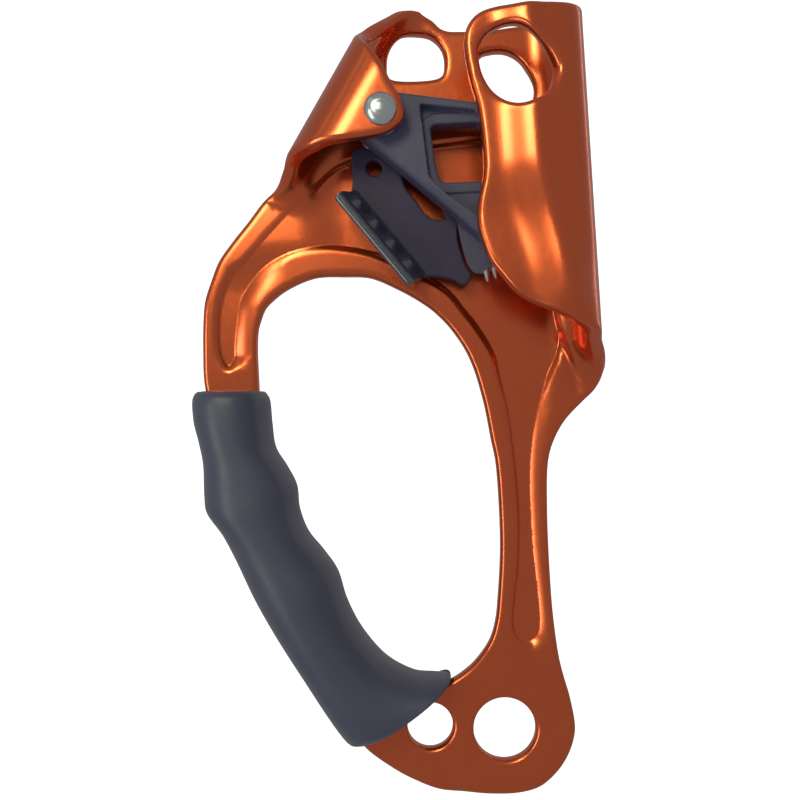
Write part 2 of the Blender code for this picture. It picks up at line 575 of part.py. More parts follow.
ANODISED = ((0.62, 0.16, 0.04), 1.0, 0.34)     # colour, metallic, roughness
RUBBER = ((0.055, 0.062, 0.095), 0.0, 0.6)
COATED = ((0.07, 0.075, 0.115), 0.3, 0.5)
ZINC = ((0.62, 0.66, 0.68), 1.0, 0.3)
SPRING = ((0.45, 0.46, 0.48), 1.0, 0.35)
LOOK = {"frame": ANODISED, "grip": RUBBER, "cam": COATED, "catch": COATED, "cam_spring": SPRING,
        "catch_spring": SPRING}
for part in PARTS.objects:
    part.data.materials.clear()
    part.data.materials.append(material(part.name + "_finish", *LOOK.get(part.name, ZINC)))
    part.data.shade_smooth()
    part.data.set_sharp_from_angle(angle=math.radians(SHARP))
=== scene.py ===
"""Handled rope ascender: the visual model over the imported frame, in metres."""
import math

import bmesh
import bpy
import numpy as np
from mathutils import Matrix, Vector
from mathutils.geometry import delaunay_2d_cdt
from mathutils.kdtree import KDTree


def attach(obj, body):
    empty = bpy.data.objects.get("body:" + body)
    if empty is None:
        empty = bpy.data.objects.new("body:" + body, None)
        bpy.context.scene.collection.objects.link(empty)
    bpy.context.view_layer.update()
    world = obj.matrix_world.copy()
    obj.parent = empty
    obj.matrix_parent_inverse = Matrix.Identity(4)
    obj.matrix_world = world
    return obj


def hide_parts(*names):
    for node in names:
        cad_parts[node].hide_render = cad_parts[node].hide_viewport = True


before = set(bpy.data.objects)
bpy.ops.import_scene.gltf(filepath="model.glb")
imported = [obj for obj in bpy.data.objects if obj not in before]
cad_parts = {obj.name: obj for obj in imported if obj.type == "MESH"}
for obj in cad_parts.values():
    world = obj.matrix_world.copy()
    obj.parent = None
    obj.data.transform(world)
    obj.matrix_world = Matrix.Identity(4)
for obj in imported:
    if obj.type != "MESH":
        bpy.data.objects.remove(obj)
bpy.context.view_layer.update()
MM = 0.001

# ------------------------------------------------------------------ flat geometry, mm


def smooth(loop, step):
    """A closed centripetal Catmull-Rom curve through the loop's points, sampled about every step."""
    pts = [np.array(p, float) for p in loop]
    count, out = len(pts), []
    for i in range(count):
        p0, p1, p2, p3 = pts[i - 1], pts[i], pts[(i + 1) % count], pts[(i + 2) % count]
        t = [0.0]
        for a, b in ((p0, p1), (p1, p2), (p2, p3)):
            t.append(t[-1] + max(1e-6, np.linalg.norm(b - a)) ** 0.5)
        parts = max(1, round(np.linalg.norm(p2 - p1) / step))
        for k in range(parts):
            s = t[1] + (t[2] - t[1]) * k / parts
            a1 = (t[1] - s) / (t[1] - t[0]) * p0 + (s - t[0]) / (t[1] - t[0]) * p1
            a2 = (t[2] - s) / (t[2] - t[1]) * p1 + (s - t[1]) / (t[2] - t[1]) * p2
            a3 = (t[3] - s) / (t[3] - t[2]) * p2 + (s - t[2]) / (t[3] - t[2]) * p3
            b1 = (t[2] - s) / (t[2] - t[0]) * a1 + (s - t[0]) / (t[2] - t[0]) * a2
            b2 = (t[3] - s) / (t[3] - t[1]) * a2 + (s - t[1]) / (t[3] - t[1]) * a3
            out.append((t[2] - s) / (t[2] - t[1]) * b1 + (s - t[1]) / (t[2] - t[1]) * b2)
    return np.array(out)


def circle(x, z, radius, count):
    """Points round a circle."""
    a = np.linspace(0, 2 * math.pi, count, endpoint=False)
    return np.stack([x + radius * np.cos(a), z + radius * np.sin(a)], 1)


def within(points, loop):
    """Which points lie inside the closed loop."""
    x, z = points[:, 0], points[:, 1]
    hit = np.zeros(len(points), bool)
    for (x1, z1), (x2, z2) in zip(loop, np.roll(loop, -1, 0)):
        if z1 == z2:
            continue
        hit ^= ((z1 > z) != (z2 > z)) & (x < (x2 - x1) * (z - z1) / (z2 - z1) + x1)
    return hit


def distance(points, loops):
    """Distance from each point to the nearest of the closed loops, whose points lie close together."""
    a = np.concatenate(loops)
    after = np.concatenate([np.roll(l, -1, 0) for l in loops])
    before = np.concatenate([np.roll(l, 1, 0) for l in loops])
    tree = KDTree(len(a))
    for i, p in enumerate(a):
        tree.insert((p[0], p[1], 0), i)
    tree.balance()
    near = np.array([tree.find((p[0], p[1], 0))[1] for p in points], int)
    out = np.full(len(points), np.inf)
    for other in (after, before):
        d = other[near] - a[near]
        v = points - a[near]
        t = np.clip((v * d).sum(1) / np.maximum((d * d).sum(1), 1e-12), 0, 1)
        out = np.minimum(out, np.linalg.norm(v - t[:, None] * d, axis=1))
    return out


def signed(points, loop):
    """Distance to the loop, positive inside it."""
    return distance(points, [loop]) * np.where(within(points, loop), 1, -1)


def normals(loop):
    """Unit normals of the loop, pointing into it."""
    t = np.roll(loop, -1, 0) - np.roll(loop, 1, 0)
    n = np.stack([-t[:, 1], t[:, 0]], 1) / np.maximum(np.linalg.norm(t, axis=1, keepdims=True), 1e-9)
    x, z = loop[:, 0], loop[:, 1]
    turn = (x * np.roll(z, -1) - np.roll(x, -1) * z).sum()
    return n if turn > 0 else -n


def offsets(loop, distances):
    """Points beside the loop, inside it when positive."""
    n = normals(loop)
    return np.concatenate([loop + n * d for d in distances])


def grid(low, high, step):
    """Points of a triangular grid between two corners."""
    row = 0.866 * step
    x = np.arange(low[0], high[0], step)
    z = np.arange(low[1], high[1], row)
    gx, gz = np.meshgrid(x, z)
    gx = gx + (np.arange(len(z)) % 2)[:, None] * step / 2
    return np.stack([gx.ravel(), gz.ravel()], 1)


def ramp(x):
    """A smooth climb from 0 at 0 to 1 at 1."""
    x = np.clip(x, 0, 1)
    return x * x * (3 - 2 * x)


def rise(value, start, end):
    """A smooth climb from 0 at start to 1 at end, which may be the lower of the two."""
    return ramp((value - start) / (end - start))


def densify(loop, step):
    """The closed loop with points about every step along its sides."""
    out = []
    for a, b in zip(loop, loop[1:] + loop[:1]):
        n = max(1, round(math.dist(a, b) / step))
        out += [(a[0] + (b[0] - a[0]) * k / n, a[1] + (b[1] - a[1]) * k / n) for k in range(n)]
    return np.array(out)


def cornered(loop, radius, step):
    """The loop with straight sides and rounded corners."""
    out = []
    count = len(loop)
    for i, p in enumerate(loop):
        p = np.array(p, float)
        a, b = np.array(loop[i - 1], float) - p, np.array(loop[(i + 1) % count], float) - p
        cut = min(radius, 0.45 * np.linalg.norm(a), 0.45 * np.linalg.norm(b))
        s, e = p + a / np.linalg.norm(a) * cut, p + b / np.linalg.norm(b) * cut
        for t in np.linspace(0, 1, 6):
            out.append(tuple((1 - t) ** 2 * s + 2 * t * (1 - t) * p + t * t * e))
    return densify(out, step)


def open_smooth(points, per):
    """A smooth open curve through rows of numbers, per samples a span."""
    p = np.array(points, float)
    p = np.concatenate([[2 * p[0] - p[1]], p, [2 * p[-1] - p[-2]]])
    out = []
    for i in range(1, len(p) - 2):
        for k in range(per):
            t = k / per
            out.append(0.5 * (2 * p[i] + (p[i + 1] - p[i - 1]) * t
                              + (2 * p[i - 1] - 5 * p[i] + 4 * p[i + 1] - p[i + 2]) * t * t
                              + (3 * p[i] - p[i - 1] - 3 * p[i + 1] + p[i + 2]) * t ** 3))
    out.append(p[-2])
    return np.array(out)


# ------------------------------------------------------------------ meshes


def mesh_of(name, verts, faces, sharp=None):
    """A new object from points in mm, smooth apart from edges steeper than sharp degrees."""
    mesh = bpy.data.meshes.new(name)
    mesh.from_pydata(np.asarray(verts) * MM, [], faces)
    bm = bmesh.new()
    bm.from_mesh(mesh)
    bmesh.ops.remove_doubles(bm, verts=bm.verts, dist=1e-7)
    bmesh.ops.recalc_face_normals(bm, faces=bm.faces)
    bm.to_mesh(mesh)
    bm.free()
    mesh.shade_smooth()
    if sharp:
        mesh.set_sharp_from_angle(angle=math.radians(sharp))
    ob = bpy.data.objects.new(name, mesh)
    bpy.context.scene.collection.objects.link(ob)
    return ob


def bridged(rings):
    """Quads between neighbouring rings of vertex numbers."""
    faces = []
    for a, b in zip(rings, rings[1:]):
        for k in range(len(a)):
            m = (k + 1) % len(a)
            faces.append([a[k], a[m], b[m], b[k]])
    return faces


def inside(points, outline, holes):
    """Which points lie on the plate: inside its outline and outside its holes."""
    keep = within(points, outline)
    for hole in holes:
        keep &= ~within(points, hole)
    return keep


# The angles that shape a rounded edge. In edge radii: the last ring of points beside an edge, and
# where free points may start. In mm: how far every point stays from the rim.
QUARTER = [math.radians(a) for a in (22.5, 45, 67.5, 90)]
PAST_EDGE, CLEAR_OF_EDGE, CLEAR_OF_RIM = 1.7, 1.9, 0.04


def sheet_mesh(name, outline, holes, free, radius, front, back):
    """A closed plate with rounded edges over a flat outline.

    free is extra inner points; front and back map (points, distance to the edge) to 3-D.
    """
    loops = [outline, *holes]
    depths = [radius * (1 - math.cos(a)) for a in QUARTER] + [radius * PAST_EDGE]
    rings = np.concatenate([offsets(loop, [s * d for d in depths for s in (1, -1)]) for loop in loops])
    inner = np.concatenate([rings, free])
    keep = inside(inner, outline, holes)
    on_ring = np.arange(len(keep))[keep] < len(rings)
    inner = inner[keep]
    d = distance(inner, loops)
    inner = inner[(on_ring | (d > radius * CLEAR_OF_EDGE)) & (d > CLEAR_OF_RIM)]
    edges, base = [], 0
    for loop in loops:
        edges += [(base + i, base + (i + 1) % len(loop)) for i in range(len(loop))]
        base += len(loop)
    flat = [Vector(p) for loop in loops for p in loop] + [Vector(p) for p in inner]
    points, _, faces, _, _, _ = delaunay_2d_cdt(flat, edges, [], 0, 1e-4)
    points, faces = np.array([tuple(p) for p in points]), np.array(faces)
    faces = faces[inside(points[faces].mean(1), outline, holes)]
    used, faces = np.unique(faces, return_inverse=True)
    points, faces = points[used], faces.reshape(-1, 3)
    d = distance(points, loops)
    count = len(points)
    shell = faces.tolist() + (faces[:, ::-1] + count).tolist()
    directed = {(int(f[i - 1]), int(f[i])) for f in faces for i in range(3)}
    shell += [[q, p, p + count, q + count] for p, q in directed if (q, p) not in directed]
    return mesh_of(name, np.concatenate([front(points, d), back(points, d)]), shell)


def flat_face(y, edge, side):
    """A flat face for sheet_mesh at depth y, with its rounded edge falling towards side."""
    return lambda p, d: np.stack([p[:, 0], y + side * rounding(d, edge), p[:, 1]], 1)


def rounding(d, radius):
    """How far a rounded edge falls below the face, at distance d from it."""
    return radius - np.sqrt(np.maximum(0, radius ** 2 - (radius - np.minimum(d, radius)) ** 2))


# ------------------------------------------------------------------ frame sheet

# Both folds have the radius ROLL to the sheet's middle. Each is full on one side of its FULL
# and has run out at its FLAT. The ear's bend line starts at EAR_ORIGIN.
SHEET, ROLL, SHEET_EDGE = 4.0, 10.0, 1.25
CHANNEL_FULL, CHANNEL_FLAT = -35.0, -46.0
EAR_ORIGIN = np.array((-51.3, 6.2))
EAR_ALONG = np.array((0.555, 0.832))
EAR_OUT = np.array((-0.832, 0.555))
EAR_FULL, EAR_FLAT = -0.5, -10.0
RIVET = (-37.2, 20.5)
PIN = (-21.3, 0.8)
MAIN_HOLE, CORD_HOLE = (-17.1, -130.6, 7.8), (-35.7, -128.4, 5.7)
# How far apart the sheet's points lie: on its outline and holes, on the flat, on the recess's
# flanks, and between and along the rows over a fold.
OUTLINE_STEP, HOLE_STEP, COARSE, FINE, ROW_STEP, POINT_STEP = 0.8, 0.6, 1.7, 0.6, 1.4, 0.9

TOP_EDGE = [(-22.4, 47.7), (-20.8, 45.9), (-18.9, 45.0), (-15.9, 44.7), (-9.5, 44.3),
            (-3.0, 44.8), (5.0, 44.9), (14.0, 44.2), (25.0, 42.8)]
CHANNEL_FLAP = [(36.0, 42.5), (40.3, 42.6), (43.4, 42.0), (45.8, 40.5), (47.5, 38.0), (48.2, 34.6),
                (47.5, 26.7), (46.1, 19.7), (45.6, 11.6), (45.8, 4.7), (47.5, -2.0), (48.0, -6.6),
                (47.4, -10.5), (45.9, -15.5), (43.6, -19.1), (40.3, -23.5), (36.3, -26.4),
                (31.6, -28.7), (27.5, -31.0), (23.5, -33.0), (20.5, -34.6), (17.5, -36.6),
                (15.5, -38.5), (14.6, -40.3), (14.1, -42.5), (13.1, -45.0), (11.3, -47.5),
                (8.6, -49.8)]
SPINE_EDGE = [(3.6, -54.4), (0.5, -59.1), (-1.3, -64.0), (-2.5, -76.4), (-3.0, -93.8),
              (-2.9, -103.7), (-2.2, -113.7), (-1.3, -118.8), (-0.2, -123.8), (0.6, -131.4),
              (-0.1, -134.8), (-2.0, -138.9), (-5.3, -142.9), (-9.4, -145.8), (-14.7, -146.9),
              (-22.2, -146.6), (-28.4, -145.6), (-34.7, -144.5), (-40.9, -141.6), (-45.5, -138.7),
              (-52.1, -133.2)]
LEFT_EDGE = [(-54.5, -129.5), (-57.6, -124.5), (-63.2, -114.5), (-68.8, -104.0), (-73.7, -94.0),
             (-77.5, -84.5), (-80.5, -77.5), (-83.5, -71.5), (-84.6, -66.0), (-84.8, -55.0),
             (-85.5, -45.0), (-86.2, -38.0), (-85.9, -30.5), (-85.3, -23.1), (-84.5, -18.2),
             (-82.6, -13.3), (-80.3, -8.5), (-76.5, -3.8), (-72.2, 0.9), (-68.1, 5.6)]
EAR_ROOT = [(-4.6, 12.3), (-0.5, 15.7), (1.8, 20.5)]
EAR_FLAP = [(4.6, 25.2), (6.7, 27.5), (10.7, 33.0), (15.5, 38.6), (18.7, 40.5), (20.6, 40.9),
            (22.1, 40.1), (24.8, 37.4), (26.6, 34.2), (31.5, 26.6), (33.2, 22.0), (36.5, 15.7),
            (40.8, 12.4), (44.6, 9.8), (48.2, 7.6), (50.0, 5.4), (50.8, 3.2)]
EAR_TIP = (-25.5, 49.9)
HAND_OPENING = [(-72.6, -41.4), (-73.0, -49.0), (-72.4, -55.7), (-69.6, -62.3), (-67.9, -66.4),
                (-67.9, -72.0), (-65.7, -78.8), (-61.6, -84.7), (-59.3, -88.2), (-58.2, -92.3),
                (-56.3, -97.4), (-53.1, -104.5), (-48.0, -111.8), (-42.6, -116.0), (-37.5, -117.9),
                (-33.0, -118.4), (-29.8, -117.6), (-26.2, -115.6), (-23.3, -113.3), (-19.4, -108.5),
                (-17.5, -103.6), (-16.2, -96.1), (-15.0, -86.0), (-14.5, -75.0), (-14.6, -63.3),
                (-15.3, -58.2), (-16.2, -50.5), (-17.1, -45.4), (-18.3, -40.2), (-20.2, -35.0),
                (-23.3, -29.7), (-25.4, -27.0), (-28.0, -24.3), (-31.6, -21.5), (-36.0, -18.7),
                (-42.6, -15.4), (-49.1, -14.6), (-56.5, -14.4), (-63.4, -16.7), (-67.1, -19.0),
                (-69.6, -21.3), (-70.8, -23.8), (-71.7, -26.3), (-72.3, -31.3)]
LIP_HOLE = [(-13.6, 32.8), (-13.5, 29.7), (-12.9, 27.0), (-11.6, 24.2), (-9.8, 22.1), (-7.3, 20.4),
            (-4.6, 19.7), (-1.9, 20.1), (0.5, 21.2), (2.1, 22.8), (3.3, 25.4), (3.7, 27.3), (3.3, 29.1),
            (2.0, 31.7), (0.2, 34.1), (-1.6, 36.0), (-3.7, 37.5), (-5.6, 38.1), (-7.9, 38.1),
            (-10.3, 37.3), (-12.1, 35.9), (-13.2, 34.3)]
BACK_HOLE = [(-10.7, 38.4), (-8.8, 38.8), (-6.7, 38.9), (-4.6, 38.5), (-2.6, 37.4), (-1.0, 35.8),
             (0.1, 33.9), (1.0, 31.9), (1.6, 29.8), (1.6, 27.7), (1.2, 26.0), (0.9, 24.3), (-0.5, 22.6),
             (-3.0, 21.4), (-6.0, 20.9), (-9.0, 21.6), (-11.2, 23.2), (-12.2, 26.5), (-12.5, 31.0),
             (-12.3, 34.5), (-11.9, 36.9)]
D_HOLE = [(-32.9, 33.6), (-22.4, 33.3), (-20.9, 34.3), (-20.3, 38.6), (-21.3, 41.6), (-23.7, 43.9),
          (-27.0, 44.6), (-30.6, 44.2), (-33.2, 42.6), (-34.8, 40.0), (-35.1, 36.6), (-34.7, 34.6)]
RECESS = [(3.5, -35.3), (-0.1, -42.9), (-2.3, -49.0), (-4.6, -56.3), (-6.3, -66.2), (-7.0, -83.7),
          (-6.6, -105.0), (-7.5, -107.9), (-9.7, -109.2), (-12.0, -107.9), (-12.9, -105.0),
          (-10.5, -89.5), (-9.4, -76.5), (-9.5, -66.0), (-9.8, -58.7), (-10.4, -50.9),
          (-11.7, -43.5), (-12.9, -36.7), (-16.4, -29.7), (-19.6, -24.9), (-22.8, -20.4),
          (-27.8, -16.3), (-35.0, -12.0), (-41.8, -8.8), (-51.1, -6.6), (-57.2, -6.7),
          (-62.2, -7.6), (-66.1, -9.1), (-69.5, -11.1), (-72.7, -14.3), (-75.6, -18.7),
          (-76.9, -23.6), (-77.9, -29.8), (-78.3, -33.3), (-79.7, -34.9), (-81.1, -32.0),
          (-81.3, -25.8), (-80.0, -18.3), (-77.7, -13.5), (-73.9, -9.7), (-68.8, -4.3),
          (-61.0, 3.0), (-56.0, 7.0), (-51.0, 11.0), (-46.0, 13.1), (-35.0, 14.6), (-25.0, 15.8),
          (-14.1, 16.3), (-3.0, 16.5), (1.5, 14.0), (2.6, 8.0), (2.6, -25.0)]

# The recess: its depth, the width of its flanks, how much wider they are beside the left bar
# and the spine, and the share of its depth that is lost at its upper left.
EMBOSS, FLANK, BAR_FLANK, SPINE_FLANK, FADE = 1.2, 1.8, 4.0, 2.6, 0.85
# A short dart under the channel's foot, from one point to the other.
DART_FROM, DART_TO = np.array((4.3, -33.0)), np.array((8.0, -51.5))
DART_DEPTH, DART_HALF_WIDTH = 0.8, 2.0

# The channel: how much wider it is CHANNEL_TALL above its foot, and how square its lip's bend is.
WIDENING, CHANNEL_TALL, LIP_SQUARE = 0.06, 77, 2.5
# The lip past LIP_FROM radians has its crest at CREST, or CREST_SHIFT further right low down. It
# sinks towards its free edge, swells beside the crest, and stands forward below and above a waist.
CREST, CREST_SHIFT = -1.0, 5.0
LIP_FROM, LIP_SINK, LIP_SWELL, LIP_LOW, LIP_HIGH = 1.6, 1.5, 1.0, 1.05, 0.45


def ear(along, out):
    """The flat point that is along the ear's bend line and out from it."""
    return tuple(EAR_ORIGIN + along * EAR_ALONG + out * EAR_OUT)


def ear_axes(p):
    """How far points are along the ear's bend line and out from it."""
    rel = p - EAR_ORIGIN
    return rel @ EAR_ALONG, rel @ EAR_OUT


def widening(z):
    """How much wider the channel's bend is at height z than at its foot."""
    return 1 + WIDENING * np.clip((z - CHANNEL_FULL) / CHANNEL_TALL, 0, 1)


def rolled(distance_past, strength):
    """Across, depth and angle of the sheet's middle, so far past a bend line of this strength."""
    curve = np.maximum(strength / ROLL, 1e-9)
    angle = np.minimum(curve * distance_past, math.pi)
    past = np.maximum(distance_past - math.pi / curve, 0)
    return np.sin(angle) / curve - past, ROLL - (1 - np.cos(angle)) / curve, angle


def channel_fold(p, lift):
    """Points of the rope channel: rolled round the rope, wider at the top, with a shaped lip."""
    z = p[:, 1]
    off, y, tilt = rolled(p[:, 0], rise(z, CHANNEL_FLAT, CHANNEL_FULL))
    off = off + lift * np.sin(tilt)
    off = off * np.where(off > 0, widening(z), 1)
    y = y + lift * np.cos(tilt)
    lip = tilt > LIP_FROM
    power_sum = np.abs(off) ** LIP_SQUARE + np.abs(y) ** LIP_SQUARE
    square = np.hypot(off, y) / np.maximum(power_sum, 1e-9) ** (1 / LIP_SQUARE)
    square = 1 + (square - 1) * rise(y, 0, -6) * lip * (off > 0)
    off, y = off * square, y * square
    crest = CREST + CREST_SHIFT * rise(z, 8, -24)
    left = crest - off
    lean = LIP_SINK * rise(left, 0, 11) - LIP_SWELL * rise(left, -4, 1) * rise(left, 9, 0)
    lean = lean - LIP_LOW * rise(z, -4, -22) - LIP_HIGH * rise(z, -5, 7)
    y = y + lean * lip * rise(z, -34, -24) * rise(left, -7, -1)
    return np.stack([off, y, z], 1)


def ear_fold(along, away, lift):
    """Points of the ear, from their places along its bend line and out from it."""
    off, y, tilt = rolled(away, rise(along, EAR_FLAT, EAR_FULL))
    off = off + lift * np.sin(tilt)
    flat = EAR_ORIGIN + along[:, None] * EAR_ALONG + off[:, None] * EAR_OUT
    return np.stack([flat[:, 0], y + lift * np.cos(tilt), flat[:, 1]], 1)


def folded(p, lift):
    """The folded sheet's points for flat points, lift mm off its middle."""
    out = np.stack([p[:, 0], ROLL + lift, p[:, 1]], 1)
    right = p[:, 0] > 0
    along, away = ear_axes(p)
    left = ~right & (away > 0) & (along > EAR_FLAT)
    out[right] = channel_fold(p[right], lift[right])
    out[left] = ear_fold(along[left], away[left], lift[left])
    return out


def unrolled(hole):
    """How far past the bend line the points of a hole in the channel's back wall lie when flat."""
    x = hole[:, 0]
    across = x / np.where(x > 0, widening(hole[:, 1]), 1)
    return np.where(x > 0, ROLL * np.arcsin(np.clip(across / ROLL, 0, 1)), x)


def walled_holes():
    """The karabiner hole in the lip and in the wall behind it, laid out flat."""
    lip, wall = smooth(LIP_HOLE, HOLE_STEP), smooth(BACK_HOLE, HOLE_STEP)
    return [np.stack([math.pi * ROLL - unrolled(lip), lip[:, 1]], 1),
            np.stack([unrolled(wall), wall[:, 1]], 1)]


def pressed(p, recess):
    """Depth of the pressed recess: full on its floor, rising over flanks outside it."""
    x, z = p[:, 0], p[:, 1]
    away = np.maximum(0, -signed(p, recess))
    by_bar = rise(x, -79.0, -76.5) * rise(x, -62, -66) * rise(z, -8, -14) * rise(z, -37.5, -31.5)
    by_spine = rise(x, -10.5, -8.5) * rise(z, -42, -52)
    wide = FLANK + BAR_FLANK * by_bar + SPINE_FLANK * by_spine
    depth = EMBOSS * (1 - np.clip(away / wide, 0, 1)) ** 2
    depth = depth * (1 - FADE * rise(x, -48, -60) * rise(z, -17, -4))
    run = DART_TO - DART_FROM
    t = np.clip(((p - DART_FROM) @ run) / (run @ run), 0, 1)
    gap = np.linalg.norm(p - DART_FROM - t[:, None] * run, axis=1)
    return depth + DART_DEPTH * (1 - rise(gap, 0, DART_HALF_WIDTH)) * (1 - rise(t, 0.55, 1))


def frame_fill(outline, recess):
    """Inner points: coarse on the flat, fine on the recess's flanks, and in rows over both folds."""
    low, high = outline.min(0), outline.max(0)
    coarse, fine = grid(low, high, COARSE), grid(low, high, FINE)
    climb, away = ear_axes(coarse)
    folds = (coarse[:, 0] > -1) | ((away > -1) & (climb > EAR_FLAT - 1))
    coarse = coarse[~folds & (distance(coarse, [recess]) > 2.8)]
    fine = fine[fine[:, 0] < 2.7]
    gap = distance(fine, [recess])
    fine = fine[(gap < 3.0) & (gap > 0.35)]
    s, z = np.meshgrid(np.arange(0.0, 50, POINT_STEP), np.arange(-54, 46, ROW_STEP))
    channel = np.stack([s.ravel(), z.ravel()], 1)
    channel = channel[distance(channel, [recess]) > 0.5]
    t, s = np.meshgrid(np.arange(EAR_FLAT - 1, 54, ROW_STEP), np.arange(0.0, 43, POINT_STEP))
    flap = EAR_ORIGIN + t.reshape(-1, 1) * EAR_ALONG + s.reshape(-1, 1) * EAR_OUT
    flap = flap[distance(flap, [recess]) > 0.3]
    return np.concatenate([coarse, fine, channel, flap, offsets(recess, [0, 0.3, -0.3])])


def build_frame():
    outline = TOP_EDGE + CHANNEL_FLAP + SPINE_EDGE + LEFT_EDGE
    outline = smooth(outline + [ear(*p) for p in EAR_ROOT + EAR_FLAP] + [EAR_TIP], OUTLINE_STEP)
    holes = [smooth(HAND_OPENING, OUTLINE_STEP), smooth(D_HOLE, HOLE_STEP), circle(*MAIN_HOLE, 72),
             circle(*CORD_HOLE, 56), *walled_holes()]
    recess = smooth(RECESS, OUTLINE_STEP)

    def face(side):
        return lambda p, d: folded(p, pressed(p, recess) + side * (SHEET / 2 - rounding(d, SHEET_EDGE)))

    return sheet_mesh("frame_sheet", outline, holes, frame_fill(outline, recess), SHEET_EDGE,
                      face(-1), face(1))


# ------------------------------------------------------------------ grip

GRIP_OUTER = [(-87.6, -40.7), (-88.5, -41.6), (-89.1, -43.6), (-89.0, -48.5), (-88.1, -53.5),
              (-87.5, -59.0), (-87.8, -66.5), (-87.4, -71.0), (-83.9, -76.7), (-80.9, -83.6),
              (-77.1, -93.3), (-72.1, -103.6), (-66.4, -114.0), (-60.7, -124.3), (-57.0, -130.1),
              (-54.8, -131.2), (-51.4, -130.6)]
GRIP_INNER = [(-71.6, -41.7), (-70.9, -42.7), (-70.3, -44.6), (-70.2, -50.1), (-69.7, -56.2),
              (-67.1, -61.2), (-65.0, -66.1), (-64.7, -72.0), (-62.9, -78.0), (-59.2, -83.3),
              (-56.1, -88.6), (-54.3, -96.0), (-51.0, -103.6), (-45.4, -111.0), (-38.6, -115.3),
              (-32.9, -116.3), (-29.2, -116.7)]
GRIP_DEPTH = [10.6, 12.4, 13.2, 13.5, 13.5, 13.4, 13.4, 13.6, 13.4, 13.2, 13.5, 13.5, 13.5, 13.3,
              13.0, 12.6, 12.2]
# The grip's sections are rings of GRIP_SIDES points, a little squarer than an ellipse. Each end
# has an edge of this radius and sinks a little towards its middle.
GRIP_SIDES, GRIP_SPANS, GRIP_SQUARE, GRIP_EDGE = 72, 8, 0.82, 1.1
END_SHRINK, END_SINK = 3.2, 0.15


def build_grip():
    rows = open_smooth([(*a, *b, d) for a, b, d in zip(GRIP_OUTER, GRIP_INNER, GRIP_DEPTH)], GRIP_SPANS)
    angle = np.linspace(0, 2 * math.pi, GRIP_SIDES, endpoint=False)
    across, deep = (np.sign(v) * np.abs(v) ** GRIP_SQUARE for v in (np.cos(angle), np.sin(angle)))
    verts = []

    def ring(row, shrink=0.0, shift=(0.0, 0.0)):
        """One section, made smaller by shrink all round; returns its vertex numbers."""
        ax, az, bx, bz, depth = row
        mx, mz, hx, hz = (ax + bx) / 2, (az + bz) / 2, (bx - ax) / 2, (bz - az) / 2
        half = math.hypot(hx, hz)
        k = (half - shrink) / half
        for u, w in zip(across, deep):
            verts.append((mx + hx * k * u + shift[0], ROLL + (depth - shrink) * w,
                          mz + hz * k * u + shift[1]))
        return list(range(len(verts) - GRIP_SIDES, len(verts)))

    def rounded_end(row, ahead):
        """The rings of a rounded end, from its side to its middle."""
        out = np.array([row[3] - row[1], row[0] - row[2]])
        out = out / np.linalg.norm(out)
        out = out if out @ (row[:2] + row[2:4] - ahead[:2] - ahead[2:4]) > 0 else -out
        made = [ring(row, GRIP_EDGE * (1 - math.cos(a)), out * GRIP_EDGE * (math.sin(a) - 1))
                for a in QUARTER]
        return made + [ring(row, END_SHRINK, -out * END_SINK)]

    top, bottom = rounded_end(rows[0], rows[1]), rounded_end(rows[-1], rows[-2])
    chain = top[::-1] + [ring(row) for row in rows[1:-1]] + bottom
    return mesh_of("grip_moulding", verts, bridged(chain) + [chain[0], chain[-1][::-1]])


# ------------------------------------------------------------------ cam

# The rope face as (radius from the rivet, degrees), and the pieces' depths.
FACE = [(26.2, 2.0), (29.0, -3.5), (32.5, -9.0), (35.7, -14.0), (38.5, -19.0), (40.7, -24.0),
        (42.5, -29.0), (44.0, -34.0), (45.0, -39.0), (45.8, -43.5), (46.0, -48.0), (45.3, -53.0),
        (44.0, -57.0)]
REAR_FACE = [(39.0, -34.0), (37.5, -26.0), (33.5, -17.0), (28.0, -8.0), (23.5, 2.0)]
CAM_LOWER = [(-14.6, -17.4), (-17.4, -16.9), (-18.6, -14.9), (-19.4, -11.9), (-20.0, -8.7), (-20.5, -4.15)]
WINDOW = [(-25.6, 17.6), (-24.9, 8.0), (-23.9, 4.4), (-8.6, 4.1), (-8.2, 6.8), (-10.6, 13.0),
          (-13.6, 18.2), (-24.4, 18.4)]
POCKET = [(-27.9, 22.9), (-15.4, 20.7), (-13.4, 19.2), (-9.5, 13.9), (-5.6, 7.2), (-4.6, -0.3),
          (-6.4, -6.3), (-9.0, -9.4), (-16.5, -4.0), (-22.7, 0.9), (-27.0, 5.6)]
CAM_SHOULDER = (-12.6, 21.9)
FOOT = [(-21.2, -3.5), (-4.0, -19.9), (-4.0, -26.0), (-21.2, -26.0)]
CAM_FRONT, CAM_BACK, BAND_FRONT, BAND_BACK = -6.0, 2.2, 1.2, 6.4
CAM_EDGE, CAM_BACK_EDGE, BAND_EDGE = 0.55, 0.4, 0.5
CAM_COARSE, CAM_FINE = 1.1, 0.28
HUB_RADIUS, BORE_RADIUS = 6.25, 3.9
# The casting's front: a chamfer along its lower left, the pocket's depth, the rim round the
# window, and the foot behind the catch.
CHAMFER_FROM, CHAMFER_ACROSS = np.array((-41.0, 14.9)), (0.684, 0.73)
CHAMFER_WIDTH, CHAMFER_SLOPE, CHAMFER_FOOT = 1.9, 0.75, -14
POCKET_DEPTH, RIM_HEIGHT, RIM_WIDTH, FOOT_DEPTH, DEEPEST = 3.0, 0.55, 2.75, 7.4, 1.4
